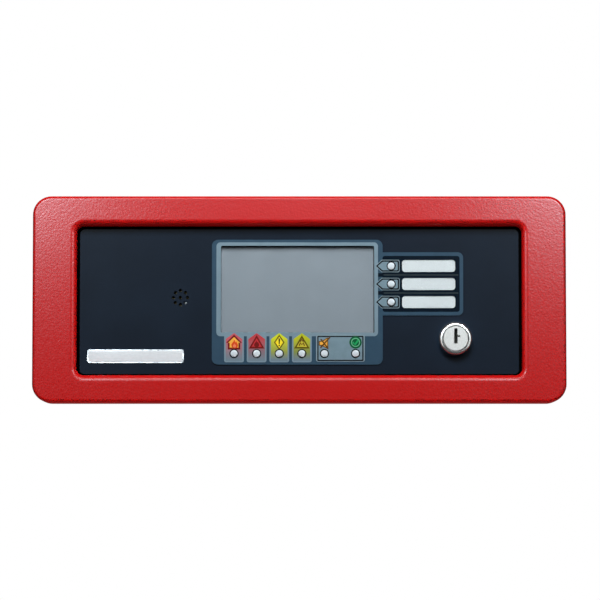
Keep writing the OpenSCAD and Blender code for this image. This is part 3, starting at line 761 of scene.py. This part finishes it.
def horn(size, inset=0.0):
    """A loudspeaker seen from the side, mouth to the right."""
    back, neck, mouth = -0.46 * size + inset, -0.2 * size + inset * 0.4, 0.4 * size - inset
    low, wide = 0.22 * size - inset, 0.56 * size - 1.6 * inset
    return [(back, -low), (neck, -low), (mouth, -wide), (mouth, wide), (neck, low), (back, low)]


def scaled(*points):
    """Points given in millimetres."""
    return [(x * MM, z * MM) for x, z in points]


def symbol(name, place, parts):
    """Prints a symbol: (outlines, ink) pairs, lowest first, drawn about its middle."""
    for k, (outlines, ink) in enumerate(parts):
        drawn = [moved(outline, *place) for outline in outlines]
        layer(f"{name}_{k + 1}", drawn, 5 + 1.5 * k, ink)


def print_symbols(inks):
    """The six icons, each above its light."""
    places = [(x, z + ICON_RISE) for x, z in LENSES]
    size = 8.0 * MM
    black, yellow, maroon = inks["black"], inks["yellow"], inks["maroon"]
    olive, brown, amber = inks["olive"], inks["brown"], inks["amber"]
    fire = flame(5.2 * MM)
    symbol("house_symbol", places[0], [
        ([house(size * 1.2)], maroon), ([house(size * 1.14, 1.0 * MM)], amber),
        ([moved(fire, 0.4 * MM, -1.0 * MM, 1.1)], inks["flame_red"]),
        ([moved(fire, 0.3 * MM, -2.0 * MM, 0.55)], inks["orange"])])
    symbol("triangle_symbol", places[1], [
        ([triangle(size * 1.14)], maroon), ([triangle(size * 1.06, 0.85 * MM)], inks["red"]),
        ([moved(fire, 0, -0.9 * MM, 0.85)], maroon)])
    bar = scaled((-0.32, -0.9), (0.32, -0.9), (0.5, 2.5), (-0.5, 2.5))
    symbol("diamond_symbol", places[2], [
        ([diamond(size * 1.12)], olive), ([diamond(size * 1.12, 0.9 * MM)], yellow),
        ([bar, circle(0, -2.0 * MM, 0.5 * MM, 16)], black)])
    wave = scaled((-1.7, -2.2), (-0.9, -0.2), (0, -1.6), (0.9, -0.2), (1.7, -2.2))
    peak = scaled((-1.0, 0.4), (0, 1.9), (1.0, 0.4))
    symbol("wave_symbol", places[3], [
        ([triangle(size * 1.12)], olive), ([triangle(size * 1.06, 0.85 * MM)], inks["dull_yellow"]),
        ([stroke(wave, 0.9 * MM), stroke(peak, 0.85 * MM)], brown)])
    falling, rising = scaled((-2.4, 2.2), (2.0, -3.6)), scaled((-2.6, -3.5), (3.6, 3.4))
    low_horn = [moved(horn(7.0 * MM, inset), -0.4 * MM, -0.6 * MM) for inset in (0, 0.6 * MM)]
    symbol("quiet_horn_symbol", places[4], [
        (low_horn[:1], brown), (low_horn[1:], amber),
        ([stroke(falling, 0.9 * MM)], brown), ([stroke(rising, 0.9 * MM)], brown)])
    tick = scaled((-1.7, 0.1), (-0.4, -1.4), (1.9, 1.5))
    symbol("power_symbol", places[5], [
        ([circle(0, 0, 4.0 * MM)], inks["deep_green"]),
        ([circle(0, 0, 2.9 * MM), circle(0, 0, 2.3 * MM)], inks["pale_green"]),
        ([stroke(tick, 1.3 * MM)], inks["leaf_green"])])


def make_inks():
    """The overlay's inks by name. The four under "alarm" fade downwards."""
    grey = srgb(106, 126, 138)
    plain = {
        "divider": (48, 58, 62), "frame": (117, 141, 154), "edge": (126, 148, 158),
        "black": (12, 15, 20), "yellow": (246, 222, 40), "dull_yellow": (196, 184, 48),
        "amber": (236, 172, 66), "orange": (232, 128, 84), "olive": (92, 80, 10),
        "brown": (92, 58, 14), "red": (190, 44, 50), "flame_red": (214, 70, 24),
        "maroon": (112, 20, 18), "deep_green": (8, 84, 48), "leaf_green": (30, 156, 88),
        "pale_green": (96, 178, 132),
    }
    inks = {name: film(f"ink_{name}", srgb(*colour)) for name, colour in plain.items()}
    inks["dark"] = film("ink_dark", srgb(8, 21, 33), specular=0.01)
    inks["fill"] = film("ink_fill", srgb(114, 139, 151), 0.08)
    fades = [(srgb(196, 84, 92), srgb(134, 118, 128)), (srgb(186, 58, 64), srgb(128, 106, 116)),
             (srgb(206, 210, 22), srgb(142, 152, 72)), (srgb(184, 188, 20), srgb(126, 138, 66))]
    low, high = TAB_LOW, LENSES[0][1] + 13 * MM
    inks["alarm"] = [faded_film(f"ink_alarm_{i + 1}", top, middle, grey, high, low)
                     for i, (top, middle) in enumerate(fades)]
    return inks


def print_overlay():
    inks = make_inks()
    print_label_field(inks)
    print_window_frame(inks)
    for i in range(4):
        print_tab(i, inks)
    print_pair_box(inks)
    for i in range(3):
        print_arrow(i, inks)
    print_symbols(inks)
    print_lens_rings(inks)


# -------------------- lights, lock, badge

def make_lenses(material):
    """Light pipes with a low dome, in place of the plain ones."""
    collar, collar_r, collar_h = back_of("interface_panel"), 3.2 * MM, 1.2 * MM
    top, dome = PRINT + 4 * INK, 0.32 * MM
    for node in ("status_lenses", "label_lenses"):
        back = back_of(node)
        profile = [(0, back), (LENS_R - 0.2 * MM, back), (LENS_R, back + 0.2 * MM),
                   (LENS_R, collar - collar_h), (collar_r, collar - collar_h), (collar_r, collar),
                   (LENS_R, collar), (LENS_R, top)]
        for k in range(1, 8):
            turn = math.radians(90 * k / 8)
            profile.append((LENS_R * math.cos(turn) ** 0.7, top + dome * math.sin(turn)))
        profile.append((0, top + dome))
        for i, place in enumerate(middles(node)):
            lens = turned(f"{node[:-2]}_{i + 1}", profile, place, material, 48)
            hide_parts(node)


def collar_profile(base, top, bore):
    """The section of the lock's collar: its bore, a round shoulder, and a short upright foot."""
    crest, foot, drop, steps = 8.7 * MM, 10.8 * MM, 3.0 * MM, 12
    points = [(bore, top - 2.4 * MM), (bore, top - 0.3 * MM), (bore + 0.3 * MM, top)]
    for k in range(steps + 1):
        turn = math.radians(90 * k / steps)
        points.append((crest + (foot - crest) * math.sin(turn), top - drop + drop * math.cos(turn)))
    return points + [(foot, base), (9.4 * MM, base)]


def make_lock(chrome, zinc):
    """The lock's collar, and behind the panel its flat-sided, threaded body."""
    low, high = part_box("lock_body")
    place = ((low.x + high.x) / 2, (low.z + high.z) / 2)
    base, top, back = front_of("interface_panel"), -low.y, -high.y
    bore = 8.35 * MM
    collar = turned("lock_collar", collar_profile(base, top, bore), place, chrome, 128)
    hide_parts("lock_body")
    thread = threaded_body(place, back, base, zinc)
    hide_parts("lock_body")


def threaded_body(place, back, front, material):
    """A threaded barrel with two flats, hollow for the plug."""
    outer, root, flat_at, bore, pitch = 9.5 * MM, 9.05 * MM, 8.1 * MM, 6.56 * MM, 1.0 * MM
    steps, rows = 96, int((front - back) / pitch * 6)
    mesh = bmesh.new()
    rings = []
    for row in range(rows + 1):
        level = back + (front - back) * row / rows
        ring = []
        for i in range(steps):
            turn = 2 * math.pi * i / steps
            wave = abs(((level / pitch + i / steps) % 1) * 2 - 1)
            radius = root + (outer - root) * wave
            radius = min(radius, flat_at / max(abs(math.sin(turn)), 1e-6))
            ring.append(mesh.verts.new((place[0] + radius * math.cos(turn), -level,
                                        place[1] + radius * math.sin(turn))))
        rings.append(ring)
    for level in (front, back):
        rings.append([mesh.verts.new((x, -level, z)) for x, z in circle(*place, bore, steps)])
    rings.append(rings[0])
    for one, two in zip(rings, rings[1:]):
        for i in range(steps):
            j = (i + 1) % steps
            mesh.faces.new((one[i], one[j], two[j], two[i]))
    bmesh.ops.recalc_face_normals(mesh, faces=mesh.faces)
    return finished(mesh, "lock_thread", material, 40)


def make_badge(plate, rim):
    """A blank name plate: a thin bright rim around a plain satin field."""
    left, right, low, high = span("name_badge")
    back, front = back_of("name_badge"), front_of("name_badge")
    outline = rectangle(left, right, low, high, 1.6 * MM)
    base = flat("badge_plate", [outline], back, front - 0.08 * MM, plate,
                edge=0.1 * MM)
    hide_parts("name_badge")
    inner = rectangle(left + 0.5 * MM, right - 0.5 * MM, low + 0.5 * MM, high - 0.5 * MM, 1.2 * MM)
    flat("badge_rim", [outline, inner], front - 0.1 * MM, front, rim)


def make_edge_shade_film(black):
    """Painted shade: a matt black film on the panel at the foot of the door's rolled edge, where the
    recess casts its shadow, slimmer along the bottom. It is so thin that the label strips slide over
    it."""
    base = front_of("interface_panel")
    foot = [v.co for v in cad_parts["door_shell"].data.vertices if abs(v.co.y + base) < 0.01 * MM]
    rim = SHEET + 0.02 * MM
    wide = max(co.x for co in foot) - rim
    low, high = min(co.z for co in foot) + rim, max(co.z for co in foot) - rim
    # widths of the painted shade: wide at the sides and top, slim along the bottom
    tape, slim = 1.9 * MM, 0.9 * MM
    outer = rectangle(-wide, wide, low, high, 4.4 * MM)
    inner = rectangle(tape - wide, wide - tape, low + slim, high - tape, 3 * MM)
    flat("edge_shadow_film", [outer, inner], base, base + 0.04 * MM, black)


def make_sounder_joint(solder):
    """The solder that joins the red lead, seen through one hole of the grille."""
    low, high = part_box("sounder_disc")
    place = (low.x + high.x) / 2 + 3.3 * MM, (low.z + high.z) / 2 - 3.2 * MM
    level, radius, height = -low.y, 1.5 * MM, 0.9 * MM
    turns = [math.radians(15 * k) for k in range(6)]
    dome = [(radius * math.cos(t), level + height * math.sin(t)) for t in turns]
    dome.append((0, level + height))
    turned("sounder_joint", dome, place, solder, 24)


# -------------------- the circuit board

BOARD = back_of("main_board")       # the level that its parts stand on
UPRIGHT, ACROSS = ((0, 1), (0, -1)), ((1, 0), (-1, 0))


def brick(x, z, wide, tall, low, high):
    """The corners of a block about (x, z), between two levels."""
    return (x - wide / 2, -high, z - tall / 2), (x + wide / 2, -low, z + tall / 2)


def leg(mesh, foot, way, width):
    """One gull-wing leg that starts beside the chip, at foot, and lands a little further out."""
    section = [(0, 0.75), (0.5, 0.75), (0.8, 0.15), (1.3, 0.15), (1.3, 0), (0.7, 0), (0.4, 0.6),
               (0, 0.6)]        # (out, up), in millimetres
    along = Vector((-way.y, way.x)) * width / 2
    sides = []
    for side in (along, -along):
        points = [foot + way * out * MM + side for out, _ in section]
        sides.append([mesh.verts.new((point.x, rise * MM - BOARD, point.y))
                      for point, (_, rise) in zip(points, section)])
    one, two = sides
    mesh.faces.new(one)
    mesh.faces.new(two[::-1])
    for i in range(len(one)):
        j = (i + 1) % len(one)
        mesh.faces.new((one[j], one[i], two[i], two[j]))


def make_legs(name, node, ways, pitch, metal):
    """Rows of legs down the sides of a node's chips."""
    mesh = bmesh.new()
    for low, high in solids(node):
        middle = Vector((low.x + high.x, low.z + high.z)) / 2
        half = Vector((high.x - low.x, high.z - low.z)) / 2
        for way in map(Vector, ways):
            along = Vector((way.y, way.x))
            count = int(2 * abs(along.dot(half)) / pitch) - 1
            for i in range(count):
                foot = middle + way * abs(way.dot(half)) + along * (i - (count - 1) / 2) * pitch
                leg(mesh, foot, way, pitch * 0.4)
    bmesh.ops.recalc_face_normals(mesh, faces=mesh.faces)
    finished(mesh, name, metal)


def on_board(name, outlines, material, thickness=0.05 * MM):
    flat(name, outlines, BOARD - thickness, BOARD, material)


def print_part_outlines(ink):
    """White print round each large part, with a dot at a chip's first leg."""
    outlines = []
    for node, margin in (("processor_chip", 1.9), ("memory_chips", 1.9), ("power_coils", 0.7),
                         ("ribbon_socket", 0.7), ("terminal_headers", 0.5)):
        for low, high in solids(node):
            for grow in (margin * MM, (margin - 0.2) * MM):
                outlines.append(rectangle(low.x - grow, high.x + grow, low.z - grow, high.z + grow))
            if "chip" in node:
                outlines.append(circle(low.x - 2.6 * MM, high.z + 0.8 * MM, 0.4 * MM, 16))
    for x, z in middles("capacitors"):
        outlines += [circle(x, z, 5.0 * MM), circle(x, z, 4.8 * MM)]
    on_board("part_outlines", outlines, ink)


def beside(place, across, up):
    """The place some millimetres to the right of another, and above it."""
    return place[0] + across * MM, place[1] + up * MM


def run(start, end, gap, count, shift):
    """A ribbon of parallel traces from start to end, which cross over with a 45 degree jog."""
    (x1, z1), (x2, z2) = start, end
    if abs(x2 - x1) < abs(z2 - z1):
        level = run((z1, x1), (z2, x2), gap, count, shift)
        return [[(x, z) for z, x in line] for line in level]
    lines = []
    for i in range(count):
        step = (i - (count - 1) / 2) * gap
        turn, drop = (x1 + x2) / 2 + shift * step, abs(z2 - z1)
        near, far = turn - drop / 2, turn + drop / 2
        if x2 < x1:
            near, far = far, near
        lines.append([(x1, z1 + step), (near, z1 + step), (far, z2 + step), (x2, z2 + step)])
    return lines


def make_traces(copper, metal):
    """Copper under the mask between the large parts, with a plated hole at each end."""
    (chip,), (socket,) = middles("processor_chip"), middles("ribbon_socket")
    memories, coils = middles("memory_chips"), middles("power_coils")
    cans, terminals = middles("capacitors"), middles("terminal_headers")
    signal = [run(beside(chip, 13, 3.5), beside(memories[1], -8, 0), 0.8 * MM, 7, -0.4),
              run(beside(chip, 13, -4.5), beside(memories[0], -8, 0), 0.8 * MM, 7, 0.4),
              run(beside(chip, 2, -13), beside(socket, -4, 4), 0.9 * MM, 10, 0.4),
              run(beside(chip, -3, 13), beside(terminals[0], 0, -7), 1.1 * MM, 8, -0.4),
              run(beside(chip, -13, 4), beside(chip, -31, 18), 0.9 * MM, 6, 0.4)]
    power = [run(beside(terminals[1], 2, -7), beside(coils[1], -9, 4), 2.4 * MM, 2, 0),
             run(beside(coils[0], 8, 0), beside(cans[1], -6, 0), 2.4 * MM, 2, 0)]
    for name, groups, width in (("signal", signal, 0.3 * MM), ("power", power, 1.4 * MM)):
        lines = [line for group in groups for line in group]
        on_board(f"{name}_traces", [stroke(line, width) for line in lines], copper)
        holes = []
        for line in lines:
            for x, z in (line[0], line[-1]):
                holes += [circle(x, z, width / 2 + 0.22 * MM, 16), circle(x, z, 0.15 * MM, 12)]
        on_board(f"{name}_holes", holes, metal, 0.08 * MM)


def free_places(count, margin, seed):
    """Seeded places on the board's back that keep clear of its large parts."""
    chance = random.Random(seed)
    left, right, low, high = span("main_board")
    edge, apart, tries = 3 * MM, 2.4 * MM, 6000
    columns, rows = int((right - left) / MM) - 6, int((high - low) / MM) - 6
    taken = []
    for node in ("processor_chip", "memory_chips", "power_coils", "capacitors", "ribbon_socket",
                 "terminal_headers", "board_screws", "display_ribbon"):
        taken += [(a.x, b.x, a.z, b.z, margin) for a, b in solids(node)]
    places = []
    for _ in range(tries):
        x = left + edge + chance.randrange(columns) * MM
        z = low + edge + chance.randrange(rows) * MM
        if all(x < a - m or x > b + m or z < c - m or z > d + m for a, b, c, d, m in taken):
            places.append((x, z, chance.random() < 0.5, chance.random() < 0.55))
            taken.append((x, x, z, z, apart))
        if len(places) == count:
            break
    return places


def make_small_parts(ceramic, epoxy, metal):
    """Chip capacitors and resistors, each with a plated end cap on either side."""
    bodies, caps = {True: [], False: []}, []
    for x, z, stands, is_ceramic in free_places(84, 3.2 * MM, 11):
        wide, high = 1.2 * MM, (1.0 if is_ceramic else 0.55) * MM
        bodies[is_ceramic].append(brick(x, z, wide, wide, BOARD - high, BOARD))
        for side in (-0.8 * MM, 0.8 * MM):
            at = (x, z + side) if stands else (x + side, z)
            size = (1.26 * MM, 0.42 * MM) if stands else (0.42 * MM, 1.26 * MM)
            caps.append(brick(*at, *size, BOARD - high - 0.03 * MM, BOARD))
    blocks("chip_capacitors", bodies[True], ceramic, 0.06 * MM)
    blocks("chip_resistors", bodies[False], epoxy, 0.06 * MM)
    blocks("chip_ends", caps, metal, 0.05 * MM)


def make_can_details(black):
    """Each can's moulded foot and its dark polarity mark."""
    top = back_of("capacitors")
    for i, (x, z) in enumerate(middles("capacitors")):
        half, cut = 4.4 * MM, 1.4 * MM
        foot = [(x - half, z - half), (x + half, z - half), (x + half, z + half - cut),
                (x + half - cut, z + half), (x - half + cut, z + half), (x - half, z + half - cut)]
        flat(f"can_foot_{i + 1}", [foot], BOARD - 1.0 * MM, BOARD, black,
             edge=0.15 * MM)
        mark = arc(x, z, 3.6 * MM, 35, 145, 11)
        flat(f"can_mark_{i + 1}", [mark], top - 0.03 * MM, top, black)


def make_windings(copper):
    """The end of each coil's winding, in a ring-shaped hollow of its core."""
    top = back_of("power_coils")
    rings = []
    for turn in range(6):
        middle = (2.7 + 0.45 * turn) * MM
        for angle in range(180, -1, -30):
            bend = math.radians(angle)
            rings.append((middle + 0.22 * MM * math.cos(bend), top - 0.2 * MM * math.sin(bend)))
    for i, place in enumerate(middles("power_coils")):
        turned(f"winding_{i + 1}", rings, place, copper, 48)


def make_board(metal):
    """The small things on the board, which show when the door stands open."""
    white = moulded("part_print", (0.72, 0.72, 0.69, 1), 0.6, 0.03)
    copper = moulded("masked_copper", (0.014, 0.17, 0.055, 1), 0.3, 0.12)
    ceramic = moulded("chip_ceramic", (0.40, 0.29, 0.19, 1), 0.45, 0.1)
    black = moulded("part_black", (0.012, 0.012, 0.014, 1), 0.4)
    make_legs("processor_legs", "processor_chip", UPRIGHT + ACROSS, 0.8 * MM, metal)
    make_legs("memory_legs", "memory_chips", UPRIGHT, 1.0 * MM, metal)
    print_part_outlines(white)
    make_traces(copper, metal)
    make_small_parts(ceramic, black, metal)
    make_can_details(black)
    make_windings(copper_flash())


def make_earth_mark(paper, ink):
    """A printed earth symbol beside the earth stud."""
    low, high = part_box("earth_stud")
    x, z, level = (low.x + high.x) / 2 - 13 * MM, (low.z + high.z) / 2, back_of("back_box") + SHEET
    flat("earth_label", [circle(x, z, 5 * MM)], level, level + 0.08 * MM, paper, BOX)
    bars = [rectangle(x - w * MM, x + w * MM, z + (h - 0.3) * MM, z + (h + 0.3) * MM)
            for w, h in ((2.8, -0.4), (1.9, -1.7), (1.0, -3.0))]
    bars.append(rectangle(x - 0.3 * MM, x + 0.3 * MM, z - 0.1 * MM, z + 3.4 * MM))
    flat("earth_symbol", bars, level + 0.08 * MM, level + 0.1 * MM, ink, BOX)


# -------------------- the finished model

def paint_nodes():
    """Gives every CAD node its material, and returns two that the pieces share."""
    zinc, card = plated_steel(), label_card()
    finishes = {
        red_coat(): ["back_box", "door_shell"],
        dark_coat(): ["interface_panel"],
        zinc: ["panel_nuts", "display_frame", "board_standoffs", "board_screws", "terminal_screws",
               "lock_washer", "lock_nut", "lock_cam", "cam_screw"],
        brushed_steel(): ["hinge_box_leaf", "hinge_door_leaf", "hinge_pin"],
        brass(): ["earth_stud", "earth_nut"],
        # the disc's brass is darkened as painted shade
        shaded_brass(): ["sounder_disc"],
        copper_flash(): ["door_studs"],
        foam(): ["rim_seal", "display_tape", "display_pads", "sounder_ring"],
        moulded("black_nylon", (0.014, 0.014, 0.015, 1), 0.5): ["cable_bushing"],
        film("overlay_film", srgb(46, 72, 92)): ["graphic_overlay"],
        film("spacer_film", srgb(26, 32, 42)): ["overlay_spacer"],
        clear_film("label_film", srgb(200, 210, 214), 0.12, 0.12): ["label_windows"],
        clear_film("touch_glass", srgb(154, 167, 176), 0.45, 0.22): ["touch_screen"],
        unlit_display(): ["display_cell"],
        moulded("light_guide", (0.75, 0.76, 0.76, 1), 0.5): ["display_backlight"],
        amber_film(): ["display_ribbon"],
        moulded("natural_nylon", (0.62, 0.58, 0.47, 1), 0.5): [
            "ribbon_socket", "lead_socket", "lead_plug"],
        solder_mask(): ["main_board"],
        moulded("led_package", (0.75, 0.73, 0.66, 1), 0.4): ["status_leds", "label_leds"],
        silvered_ceramic(): ["sounder_ceramic"],
        moulded("red_insulation", (0.5, 0.015, 0.015, 1), 0.4): ["sounder_lead_red"],
        moulded("black_insulation", (0.015, 0.015, 0.015, 1), 0.4): ["sounder_lead_black"],
        moulded("chip_epoxy", (0.012, 0.012, 0.013, 1), 0.55): ["processor_chip", "memory_chips"],
        moulded("ferrite", (0.03, 0.03, 0.032, 1), 0.6): ["power_coils"],
        plated_steel("capacitor_can", (0.68, 0.69, 0.70, 1)): ["capacitors"],
        moulded("terminal_green", (0.012, 0.20, 0.07, 1), 0.38): [
            "terminal_headers", "terminal_plugs"],
        cast_chrome(): ["lock_plug"],
        card: ["label_strip_top", "label_strip_middle", "label_strip_bottom"],
    }
    for material, nodes in finishes.items():
        for node in nodes:
            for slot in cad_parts[node].material_slots:
                slot.material = material
    return zinc, card


make_camera()
make_lights()
make_world()
make_floor(floor_paint())
zinc, card = paint_nodes()
print_overlay()
make_lenses(frosted_lens())
make_lock(polished_chrome(), zinc)
# painted shade at the foot of the door's rolled edge
make_edge_shade_film(film("shade_black_film", (0.0012, 0.0010, 0.0010, 1), specular=0))
solder = tin()
make_sounder_joint(solder)
make_board(solder)
make_earth_mark(card, moulded("earth_ink", (0.01, 0.01, 0.01, 1), 0.6))
make_badge(moulded("badge_satin", srgb(214, 220, 224), 0.35, 0.03), plated_steel("badge_rim"))
